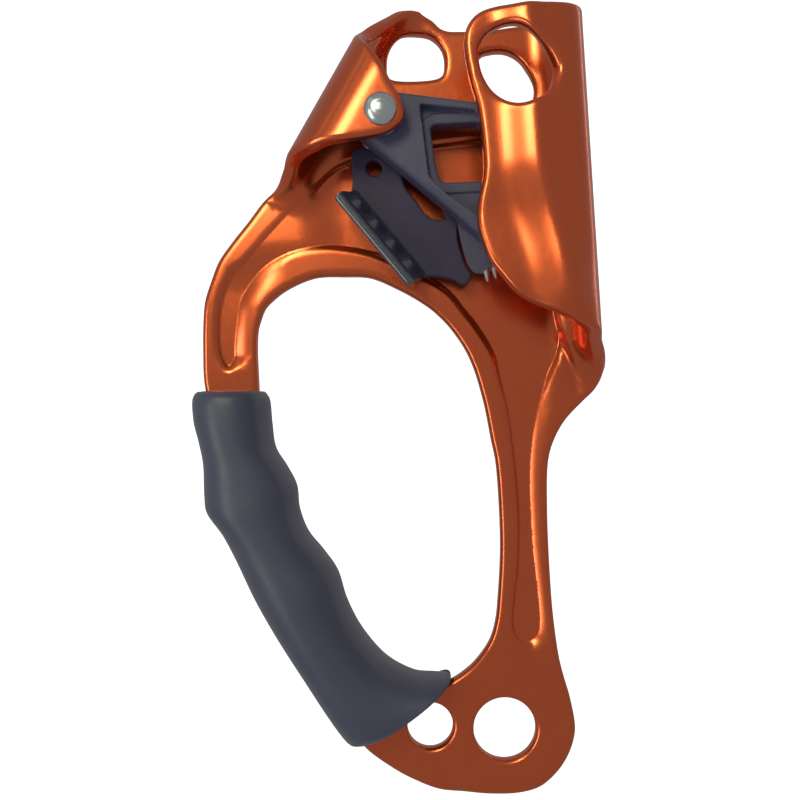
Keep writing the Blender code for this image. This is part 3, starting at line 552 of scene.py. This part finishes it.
# Teeth: degrees between rows, each row's depths, and the degrees to which rows are wide and full.
# A tooth tapers by (share of its length, radius).
TOOTH_STEP, TOOTH_STAGGER, TOOTH_SIDES = 2.6, 0.45, 10
TOOTH_COLUMNS, FINE_COLUMNS = (-4.6, -2.8, -1.0, 0.8, 2.8, 4.6), (0.4, 1.5)
WIDE_TO, FULL_TO = -31, -47
TOOTH_TAPER, TOOTH_LENGTH, TOOTH_LEAN = ((0.0, 0.72), (0.55, 0.42), (0.92, 0.12)), 1.7, 1.0


def polar(radius, degrees):
    """The point so far from the rivet in this direction."""
    a = math.radians(degrees)
    return RIVET[0] + radius * math.cos(a), RIVET[1] + radius * math.sin(a)


def build_casting():
    hub = [polar(HUB_RADIUS, a) for a in np.linspace(226, 79, 16)]
    outline = cornered(hub + [CAM_SHOULDER] + [polar(*p) for p in FACE] + CAM_LOWER, 0.9, 0.45)
    window, pocket = cornered(WINDOW, 1.6, 0.4), cornered(POCKET, 0.9, 0.4)
    foot = densify(FOOT, 0.4)
    low, high = outline.min(0), outline.max(0)
    # Fine points lie only where the pocket's wall, the foot's edge and the window's rim are steep.
    fine = grid(low, high, CAM_FINE)
    near = np.minimum(np.abs(distance(fine, [pocket]) - 0.2), distance(fine, [foot]))
    near = np.minimum(near, np.abs(distance(fine, [window]) - 2.6))
    edges = offsets(pocket, [-0.05, 0.12, 0.32]), offsets(window, [-2.4, -2.75])
    free = np.concatenate([grid(low, high, CAM_COARSE), fine[near < 0.75], *edges])

    def front(p, d):
        y = CAM_FRONT + rounding(d, CAM_EDGE)
        across = (p - CHAMFER_FROM) @ CHAMFER_ACROSS
        y = y + CHAMFER_SLOPE * np.clip(CHAMFER_WIDTH - across, 0, CHAMFER_WIDTH) * (p[:, 1] > CHAMFER_FOOT)
        y = y + POCKET_DEPTH * ramp(signed(p, pocket) / 0.3)
        rim = ramp((RIM_WIDTH - distance(p, [window])) / 0.35)
        y = y - RIM_HEIGHT * np.where(within(p, pocket), rim, 0)
        in_foot = signed(p, foot)
        low_face = CAM_FRONT + FOOT_DEPTH * ramp(in_foot / 0.5 + 0.1) + rounding(d, CAM_EDGE)
        y = np.where(in_foot > -0.1, np.maximum(y, low_face), y)
        return np.stack([p[:, 0], np.minimum(y, DEEPEST), p[:, 1]], 1)

    return sheet_mesh("cam_casting", outline, [window, circle(*RIVET, BORE_RADIUS, 40)], free, CAM_EDGE,
                      front, flat_face(CAM_BACK, CAM_BACK_EDGE, -1))


def build_rear_band():
    block = [polar(26.0, 1.5), *[polar(r - 0.15, a) for r, a in FACE[1:8]], *[polar(*p) for p in REAR_FACE]]
    block = cornered(block, 0.8, 0.6)
    return sheet_mesh("cam_rear_band", block, [], grid(block.min(0), block.max(0), 1.2), BAND_EDGE,
                      flat_face(BAND_FRONT, BAND_EDGE, 1), flat_face(BAND_BACK, BAND_EDGE, -1))


def build_teeth():
    """Rows of teeth down the rope face: wide ones at the top, then narrower, then fine ones."""
    verts, faces = [], []
    for row, degrees in enumerate(np.arange(-3.5, -58.5, -TOOTH_STEP)):
        radius = float(np.interp(-degrees, [-a for _, a in FACE], [r for r, _ in FACE]))
        columns = TOOTH_COLUMNS if degrees > WIDE_TO else TOOTH_COLUMNS[:4]
        stagger, size = TOOTH_STAGGER * (row % 2), 1.0
        if degrees < FULL_TO:
            columns, stagger, size = FINE_COLUMNS, 0.0, 1.5
        for y in columns:
            add_tooth(verts, faces, radius, degrees, y + stagger, size)
    return mesh_of("cam_teeth", verts, faces, 30)


def add_tooth(verts, faces, radius, degrees, y, size):
    """A conical point on the rope face, leaning down the rope."""
    a = math.radians(degrees)
    out, down = np.array((math.cos(a), math.sin(a))), np.array((math.sin(a), -math.cos(a)))
    root = np.array(RIVET) + (radius - 0.5) * out
    tip = root + out * (TOOTH_LENGTH * size) + down * TOOTH_LEAN * size
    rings = []
    for share, r in TOOTH_TAPER:
        middle = root + (tip - root) * share
        rings.append(list(range(len(verts), len(verts) + TOOTH_SIDES)))
        for k in range(TOOTH_SIDES):
            turn = 2 * math.pi * k / TOOTH_SIDES
            v = middle + down * r * size * math.cos(turn)
            verts.append((v[0], y + r * math.sin(turn), v[1]))
    point = len(verts)
    verts.append((tip[0], y, tip[1]))
    last = rings[-1]
    faces += bridged(rings) + [[last[k], last[(k + 1) % TOOTH_SIDES], point] for k in range(TOOTH_SIDES)]
    faces.append(rings[0][::-1])


# ------------------------------------------------------------------ catch

CATCH_OUTLINE = [(-44.8, 15.3), (-45.2, 11.2), (-45.1, 7.4), (-45.7, 5.2), (-29.8, -16.8),
                 (-27.2, -16.8), (-24.3, -17.4), (-21.8, -18.3), (-20.5, -19.4), (-19.3, -19.5),
                 (-18.0, -18.4), (-17.8, -16.7), (-19.1, -14.8), (-19.8, -11.9), (-20.5, -8.7),
                 (-20.4, -4.9), (-18.8, -1.6), (-18.4, 0.8), (-19.2, 2.8), (-21.3, 3.7),
                 (-23.1, 2.9), (-23.9, 1.0), (-23.6, -1.6), (-22.8, -3.2), (-25.8, -3.2),
                 (-28.0, -1.7), (-30.0, 1.8), (-32.1, 4.6), (-33.2, 8.0), (-33.0, 11.2),
                 (-35.0, 13.4), (-38.6, 14.5), (-42.0, 15.9)]
CATCH_HOLE, PIN_HOLE = (-39.7, 10.6, 1.9), 1.55
CATCH_FRONT, CATCH_BACK, CATCH_EDGE = 2.5, 5.5, 0.45
# The tab runs along the plate's edge between two points. Its section is (out from that edge,
# depth). Scallops press its front towards SCALLOP_FLOOR, apart from TAB_PLAIN mm at each end. Its
# ends are pinched over TAB_END mm, more on the plate's side of TAB_MIDDLE than past it.
TAB_FROM, TAB_TO = np.array((-45.7, 5.2)), np.array((-29.8, -16.8))
TAB_SECTION = [(-2.2, 4.0), (-2.0, 2.9), (-0.9, 2.2), (0.2, 0.6), (0.9, -1.2), (1.7, -3.0), (2.3, -4.4),
               (2.8, -5.2), (3.6, -5.5), (4.6, -5.2), (4.9, -4.4), (4.2, -2.0), (3.4, 0.4), (2.6, 2.6),
               (1.8, 4.2), (0.7, 5.0), (-0.8, 5.2), (-2.0, 5.0)]
TAB_STEPS, TAB_SCALLOPS, TAB_PLAIN, SCALLOP_FLOOR, SCALLOP_DEPTH = 150, 4, 1.0, -4.4, 0.9
TAB_END, TAB_MIDDLE, PINCH_INNER, PINCH_OUTER = 0.8, 1.6, 0.35, 0.12


def build_plate():
    outline = cornered(CATCH_OUTLINE, 1.2, 0.5)
    holes = [circle(*CATCH_HOLE, 36), circle(*PIN, PIN_HOLE, 24)]
    return sheet_mesh("catch_plate", outline, holes, grid(outline.min(0), outline.max(0), 1.1), CATCH_EDGE,
                      flat_face(CATCH_FRONT, CATCH_EDGE, 1), flat_face(CATCH_BACK, CATCH_EDGE, -1))


def build_tab():
    """The thumb tab: its section swept along the plate's edge, scalloped, with rounded ends."""
    along, length = TAB_TO - TAB_FROM, float(np.linalg.norm(TAB_TO - TAB_FROM))
    along = along / length
    out = np.array((along[1], -along[0]))
    out = out if out[0] < 0 else -out
    section = open_smooth(TAB_SECTION, 3)[:-1]
    verts, rings = [], []
    for i in range(TAB_STEPS + 1):
        s = length * i / TAB_STEPS
        share = (s - TAB_PLAIN) / (length - 2 * TAB_PLAIN)
        wave = 0.0
        if 0 < share < 1:
            wave = (0.5 - 0.5 * math.cos(share * math.pi * 2 * TAB_SCALLOPS)) ** 0.8
        pinch = rounding(np.array([min(s, length - s)]), TAB_END)[0] / TAB_END
        rings.append(list(range(len(verts), len(verts) + len(section))))
        for w, y in section:
            face = ramp((2.4 - y) / 2.0) * ramp((2.9 - w) / 1.0) if w < 3.0 else 0.0
            k = 1 - (PINCH_INNER if w < TAB_MIDDLE else PINCH_OUTER) * pinch
            p = TAB_FROM + along * s + out * (TAB_MIDDLE + (w - TAB_MIDDLE) * k)
            verts.append((p[0], y + SCALLOP_DEPTH * (SCALLOP_FLOOR - y) * wave * face, p[1]))
    return mesh_of("catch_thumb_tab", verts, bridged(rings) + [rings[0], rings[-1][::-1]], 50)


# ------------------------------------------------------------------ hardware

# Profiles are (radius, depth) pairs. The dome rises DOME_TALL from DOME_RIM to DOME_TOP.
DOME_RADIUS, DOME_RIM, DOME_TALL, DOME_TOP = 3.86, -12.15, 1.71, -13.86
DOME_RADII = (0.5, 0.9, 1.2, 1.5, 1.8, 2.2, 2.6, 3.0, 3.3, 3.55, 3.72, 3.82, DOME_RADIUS)
SHANK = [(3.78, -12.02), (2.75, -12.0), (2.75, 12.8), (4.1, 12.82), (4.3, 13.1), (4.1, 13.6), (3.3, 14.05),
         (1.8, 14.25), (0.0, 14.3)]
PIN_PROFILE = [(0.0, -0.9), (1.5, -0.9), (1.5, 6.95), (2.1, 7.0), (2.3, 7.2), (2.1, 7.5), (1.4, 7.7),
               (0.0, 7.7)]


def turned(name, x, z, profile, steps=64, sharp=35):
    """A body turned about a Y axis. A profile that starts on the axis ends on it; others are closed."""
    verts, faces = [], []
    closed = profile[0][0] > 0
    count = len(profile)
    for i in range(steps):
        a = 2 * math.pi * i / steps
        verts += [(x + r * math.cos(a), y, z + r * math.sin(a)) for r, y in profile]
    for i in range(steps):
        j = (i + 1) % steps
        for k in range(count if closed else count - 1):
            m = (k + 1) % count
            faces.append([i * count + k, i * count + m, j * count + m, j * count + k])
    return mesh_of(name, verts, faces, sharp)


def wire(name, path, radius):
    """A round wire along a path, as a curve with a bevel."""
    curve = bpy.data.curves.new(name, "CURVE")
    curve.dimensions = "3D"
    curve.bevel_depth = radius * MM
    curve.bevel_resolution = 5
    curve.use_fill_caps = True
    spline = curve.splines.new("POLY")
    spline.points.add(len(path) - 1)
    for point, p in zip(spline.points, path):
        point.co = (p[0] * MM, p[1] * MM, p[2] * MM, 1)
    ob = bpy.data.objects.new(name, curve)
    bpy.context.scene.collection.objects.link(ob)
    return ob


def coil(cx, cz, radius, y0, y1, turns, start, steps):
    """Points of a coil round a Y axis, and the direction that each of its ends runs on in."""
    angles = [math.radians(start) + 2 * math.pi * turns * i / steps for i in range(steps + 1)]
    path = [np.array((cx + radius * math.cos(a), y0 + (y1 - y0) * i / steps, cz + radius * math.sin(a)))
            for i, a in enumerate(angles)]
    first, last = path[0], path[-1]
    lead = np.array((first[2] - cz, 0.0, cx - first[0])) / radius
    tail = np.array((cz - last[2], 0.0, last[0] - cx)) / radius
    return path, lead, tail


def lathe_box(r0, r1, y0, y1, e=0.15):
    """The profile of a ring between two radii and two depths, with corners chamfered by e."""
    return [(r0, y0 + e), (r0 + e, y0), (r1 - e, y0), (r1, y0 + e), (r1, y1 - e), (r1 - e, y1),
            (r0 + e, y1), (r0, y1 - e)]


def dome_height(r):
    """Depth of the rivet's domed head, with a faint groove round its middle."""
    mark = 0.06 * math.exp(-((r - 1.5) / 0.3) ** 2)
    return DOME_RIM - DOME_TALL * (1 - (r / DOME_RADIUS) ** 2.2) ** 0.62 + mark


def build_hardware():
    x, z = RIVET
    rivet = turned("rivet_dome", x, z, [(0.0, DOME_TOP), *[(r, dome_height(r)) for r in DOME_RADII], *SHANK])
    washer = turned("back_washer", x, z, lathe_box(2.85, 5.5, 12.02, 12.8))
    bush = turned("bearing_bush", x, z, lathe_box(2.83, 3.8, -7.7, 7.7))
    front = turned("front_thrust_washer", x, z, lathe_box(3.9, 4.9, -7.6, -6.3))
    rear = turned("rear_thrust_washer", x, z, lathe_box(3.9, 5.5, 7.05, 7.7))
    path, lead, tail = coil(x, z, radius=4.75, y0=3.0, y1=6.45, turns=2.99, start=60.0, steps=150)
    spring = wire("cam_torsion_spring", [path[0] + lead * 9.0, *path, path[-1] + tail * 7.4], 0.42)
    x, z = PIN
    pin = turned("catch_pivot_pin", x, z, PIN_PROFILE, 40)
    path, _, tail = coil(x, z, radius=1.95, y0=5.95, y1=6.7, turns=1.7, start=100.0, steps=80)
    small = wire("catch_return_spring", [*path, path[-1] + tail * 6.0], 0.22)
    return rivet, washer, bush, front, rear, spring, pin, small


# ------------------------------------------------------------------ materials

def shader(name, metallic, **fixed):
    """A Principled material with constants on its sockets."""
    mat = bpy.data.materials.new(name)
    mat.use_nodes = True
    tree = mat.node_tree
    bsdf = tree.nodes["Principled BSDF"]
    bsdf.inputs["Metallic"].default_value = metallic
    for key, value in fixed.items():
        bsdf.inputs[key.replace("_", " ")].default_value = value
    return mat, tree, bsdf


def noise(tree, scale, stretch=(1, 1, 1), detail=3.0, rough=0.5):
    """A noise texture in object coordinates, which are metres."""
    coords = tree.nodes.new("ShaderNodeTexCoord")
    mapping = tree.nodes.new("ShaderNodeMapping")
    mapping.inputs["Scale"].default_value = stretch
    tex = tree.nodes.new("ShaderNodeTexNoise")
    tex.inputs["Scale"].default_value = scale
    tex.inputs["Detail"].default_value = detail
    tex.inputs["Roughness"].default_value = rough
    tree.links.new(coords.outputs["Object"], mapping.inputs["Vector"])
    tree.links.new(mapping.outputs["Vector"], tex.inputs["Vector"])
    return tex.outputs["Fac"]


def ranged(tree, value, low, high, a=0.3, b=0.7):
    """The value mapped so that a gives low and b gives high."""
    node = tree.nodes.new("ShaderNodeMapRange")
    node.inputs["From Min"].default_value = a
    node.inputs["From Max"].default_value = b
    node.inputs["To Min"].default_value = low
    node.inputs["To Max"].default_value = high
    tree.links.new(value, node.inputs["Value"])
    return node.outputs["Result"]


def mixed(tree, factor, a, b):
    """A mix of two colours, each a tuple or a socket."""
    node = tree.nodes.new("ShaderNodeMix")
    node.data_type = "RGBA"
    for key, value in (("A", a), ("B", b)):
        sock = [s for s in node.inputs if s.name == key and s.type == "RGBA"][0]
        if isinstance(value, tuple):
            sock.default_value = (*value, 1)
        else:
            tree.links.new(value, sock)
    tree.links.new(factor, node.inputs[0])
    return [s for s in node.outputs if s.type == "RGBA"][0]


def bumped(tree, bsdf, height, strength, distance_m):
    node = tree.nodes.new("ShaderNodeBump")
    node.inputs["Strength"].default_value = strength
    node.inputs["Distance"].default_value = distance_m
    tree.links.new(height, node.inputs["Height"])
    tree.links.new(node.outputs["Normal"], bsdf.inputs["Normal"])


def anodised():
    mat, tree, bsdf = shader("anodised_orange", 0.88, Anisotropic=0.3, Coat_Weight=0.5, Coat_Roughness=0.14)
    grain = noise(tree, 1.0, (5200, 5200, 420), rough=0.6)
    cloud = noise(tree, 90.0)
    colour = mixed(tree, ranged(tree, grain, 0, 1), (0.70, 0.124, 0.037), (0.76, 0.142, 0.042))
    colour = mixed(tree, ranged(tree, cloud, 0, 0.3), colour, (0.68, 0.104, 0.035))
    tree.links.new(colour, bsdf.inputs["Base Color"])
    tree.links.new(ranged(tree, grain, 0.215, 0.265), bsdf.inputs["Roughness"])
    bumped(tree, bsdf, grain, 0.06, 0.000012)
    return mat


def rubber():
    mat, tree, bsdf = shader("grip_rubber", 0.0, IOR=1.6, Sheen_Weight=0.15)
    pores = noise(tree, 2200.0, detail=2.0)
    cloud = noise(tree, 45.0)
    colour = mixed(tree, ranged(tree, cloud, 0, 1), (0.038, 0.044, 0.096), (0.054, 0.061, 0.120))
    tree.links.new(colour, bsdf.inputs["Base Color"])
    tree.links.new(ranged(tree, pores, 0.40, 0.52), bsdf.inputs["Roughness"])
    bumped(tree, bsdf, pores, 0.2, 0.00005)
    return mat


def coated(name, base, rough_low, rough_high, ior=1.45):
    mat, tree, bsdf = shader(name, 0.0, IOR=ior)
    grit = noise(tree, 1500.0)
    cloud = noise(tree, 70.0)
    low = tuple(c * 0.8 for c in base)
    tree.links.new(mixed(tree, ranged(tree, cloud, 0, 1), low, base), bsdf.inputs["Base Color"])
    tree.links.new(ranged(tree, grit, rough_low, rough_high), bsdf.inputs["Roughness"])
    bumped(tree, bsdf, grit, 0.3, 0.00006)
    return mat


def plated(name, base, rough):
    mat, tree, bsdf = shader(name, 1.0)
    swirl = noise(tree, 900.0)
    low = tuple(c * 0.94 for c in base)
    tree.links.new(mixed(tree, ranged(tree, swirl, 0, 1), low, base), bsdf.inputs["Base Color"])
    tree.links.new(ranged(tree, swirl, rough - 0.015, rough + 0.025), bsdf.inputs["Roughness"])
    return mat


def dress(ob, mat, slot, body, *nodes):
    """Gives a piece its material and body, and the nodes that it stands for; slot is not used."""
    ob.data.materials.clear()
    ob.data.materials.append(mat)
    if nodes:
        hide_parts(*nodes)
    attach(ob, body)


# ------------------------------------------------------------------ assembly

ORANGE, RUBBER = anodised(), rubber()
CAST = coated("cam_coating", (0.080, 0.080, 0.160), 0.44, 0.54)
DARK = coated("catch_coating", (0.036, 0.028, 0.084), 0.50, 0.60)
GLOSS = coated("tab_coating", (0.044, 0.050, 0.088), 0.20, 0.28, 1.8)
ZINC = plated("zinc_plate", (0.62, 0.68, 0.72), 0.24)
WIRE = plated("spring_wire", (0.5, 0.51, 0.53), 0.3)

dress(build_frame(), ORANGE, "anodised", "frame", "frame")
dress(build_grip(), RUBBER, "rubber", "frame", "grip")
dress(build_casting(), CAST, "coated", "cam", "cam")
dress(build_rear_band(), CAST, "coated", "cam")
dress(build_teeth(), ZINC, "zinc", "cam")
dress(build_plate(), DARK, "coated", "catch", "catch")
dress(build_tab(), GLOSS, "coated", "catch")
rivet, washer, bush, front_washer, rear_washer, spring, pin, small = build_hardware()
dress(rivet, ZINC, "zinc", "frame", "cam_rivet")
dress(washer, ZINC, "zinc", "frame", "rivet_washer")
dress(bush, ZINC, "zinc", "cam", "cam_bush")
dress(front_washer, ZINC, "zinc", "frame", "front_washer")
dress(rear_washer, ZINC, "zinc", "frame", "rear_washer")
dress(spring, WIRE, "spring", "frame", "cam_spring")
dress(pin, ZINC, "zinc", "cam", "catch_pin")
dress(small, WIRE, "spring", "cam", "catch_spring")

# ------------------------------------------------------------------ stage, metres

scene = bpy.context.scene
scene.view_settings.view_transform = "Standard"
scene.view_settings.look = "None"
CAMERA_ROLL = math.radians(4.1)
CAMERA_PLACE, CAMERA_SHIFT = Vector((-0.0367, -0.232, -0.0465)), 0.00075
FLOOR, NEAR, BEND_FROM, BEND, TOP, HALF_WIDTH = -0.3, -0.15, 0.6, 0.5, 1.6, 1.6
WHITE, WARM, PALE = (1, 1, 1), (1.0, 0.97, 0.58), (1.0, 0.97, 0.78)
SKY_LIGHT, SKY_SEEN = 0.29, 1.0


def place_camera():
    """A camera that looks straight along +Y, rolled a little."""
    data = bpy.data.cameras.new("camera")
    data.sensor_width = 36.0
    data.lens = 43.2
    data.clip_start = 0.01
    camera = bpy.data.objects.new("camera", data)
    scene.collection.objects.link(camera)
    right = Vector((math.cos(CAMERA_ROLL), 0, -math.sin(CAMERA_ROLL)))
    up = Vector((math.sin(CAMERA_ROLL), 0, math.cos(CAMERA_ROLL)))
    eye = CAMERA_PLACE - right * CAMERA_SHIFT
    camera.matrix_world = Matrix(((right.x, up.x, 0, eye.x), (right.y, up.y, -1, eye.y),
                                  (right.z, up.z, 0, eye.z), (0, 0, 0, 1)))
    scene.camera = camera


def build_backdrop():
    """A white floor under the object that curves up behind it and throws no light on it."""
    profile = [(NEAR, FLOOR), (BEND_FROM, FLOOR)]
    profile += [(BEND_FROM + BEND * math.sin(a), FLOOR + BEND - BEND * math.cos(a))
                for a in np.linspace(0.1, math.pi / 2, 14)]
    profile += [(BEND_FROM + BEND, TOP)]
    verts = [(x, y, z) for y, z in profile for x in (-HALF_WIDTH, HALF_WIDTH)]
    faces = [[2 * i, 2 * i + 1, 2 * i + 3, 2 * i + 2] for i in range(len(profile) - 1)]
    mesh = bpy.data.meshes.new("backdrop")
    mesh.from_pydata(verts, [], faces)
    mesh.shade_smooth()
    ob = bpy.data.objects.new("backdrop", mesh)
    scene.collection.objects.link(ob)
    mesh.materials.append(shader("backdrop", 0.0, Base_Color=(0.95, 0.95, 0.95, 1), Roughness=0.9,
                                 Emission_Color=(*WHITE, 1), Emission_Strength=0.9)[0])
    ob.visible_glossy = ob.visible_diffuse = False


def light_sky():
    """A white world that looks brighter to the camera than the light it gives."""
    world = bpy.data.worlds.new("studio")
    scene.world = world
    world.use_nodes = True
    tree = world.node_tree
    sky = tree.nodes["Background"]
    sky.inputs["Color"].default_value = (*WHITE, 1)
    seen = tree.nodes.new("ShaderNodeLightPath")
    strength = tree.nodes.new("ShaderNodeMapRange")
    strength.inputs["To Min"].default_value = SKY_LIGHT
    strength.inputs["To Max"].default_value = SKY_SEEN
    tree.links.new(seen.outputs["Is Camera Ray"], strength.inputs["Value"])
    tree.links.new(strength.outputs["Result"], sky.inputs["Strength"])


def softbox(name, place, target, size, power, colour=WHITE):
    """A rectangular area light, aimed from its place at its target."""
    data = bpy.data.lights.new(name, "AREA")
    data.shape = "RECTANGLE"
    data.size, data.size_y = size
    data.energy = power
    data.color = colour
    ob = bpy.data.objects.new(name, data)
    scene.collection.objects.link(ob)
    ob.location = place
    ob.rotation_euler = (Vector(target) - Vector(place)).to_track_quat("-Z", "Y").to_euler()


place_camera()
build_backdrop()
light_sky()
softbox("key", (-0.192, -0.52, 0.235), (-0.01, 0, 0.0), (0.17, 0.22), 1.15, WARM)
softbox("left_high", (-0.42, -0.20, 0.46), (-0.05, 0, 0.02), (0.07, 0.3), 0.03, WARM)
softbox("left_front", (-0.36, -0.36, 0.42), (-0.05, 0, 0.02), (0.09, 0.3), 0.03, WARM)
softbox("right_back", (0.5, 0.29, 0.14), (0, 0, 0), (0.03, 0.5), 0.12)
softbox("left_side", (-0.47, -0.41, -0.12), (-0.03, 0, -0.06), (0.08, 0.4), 0.8, PALE)
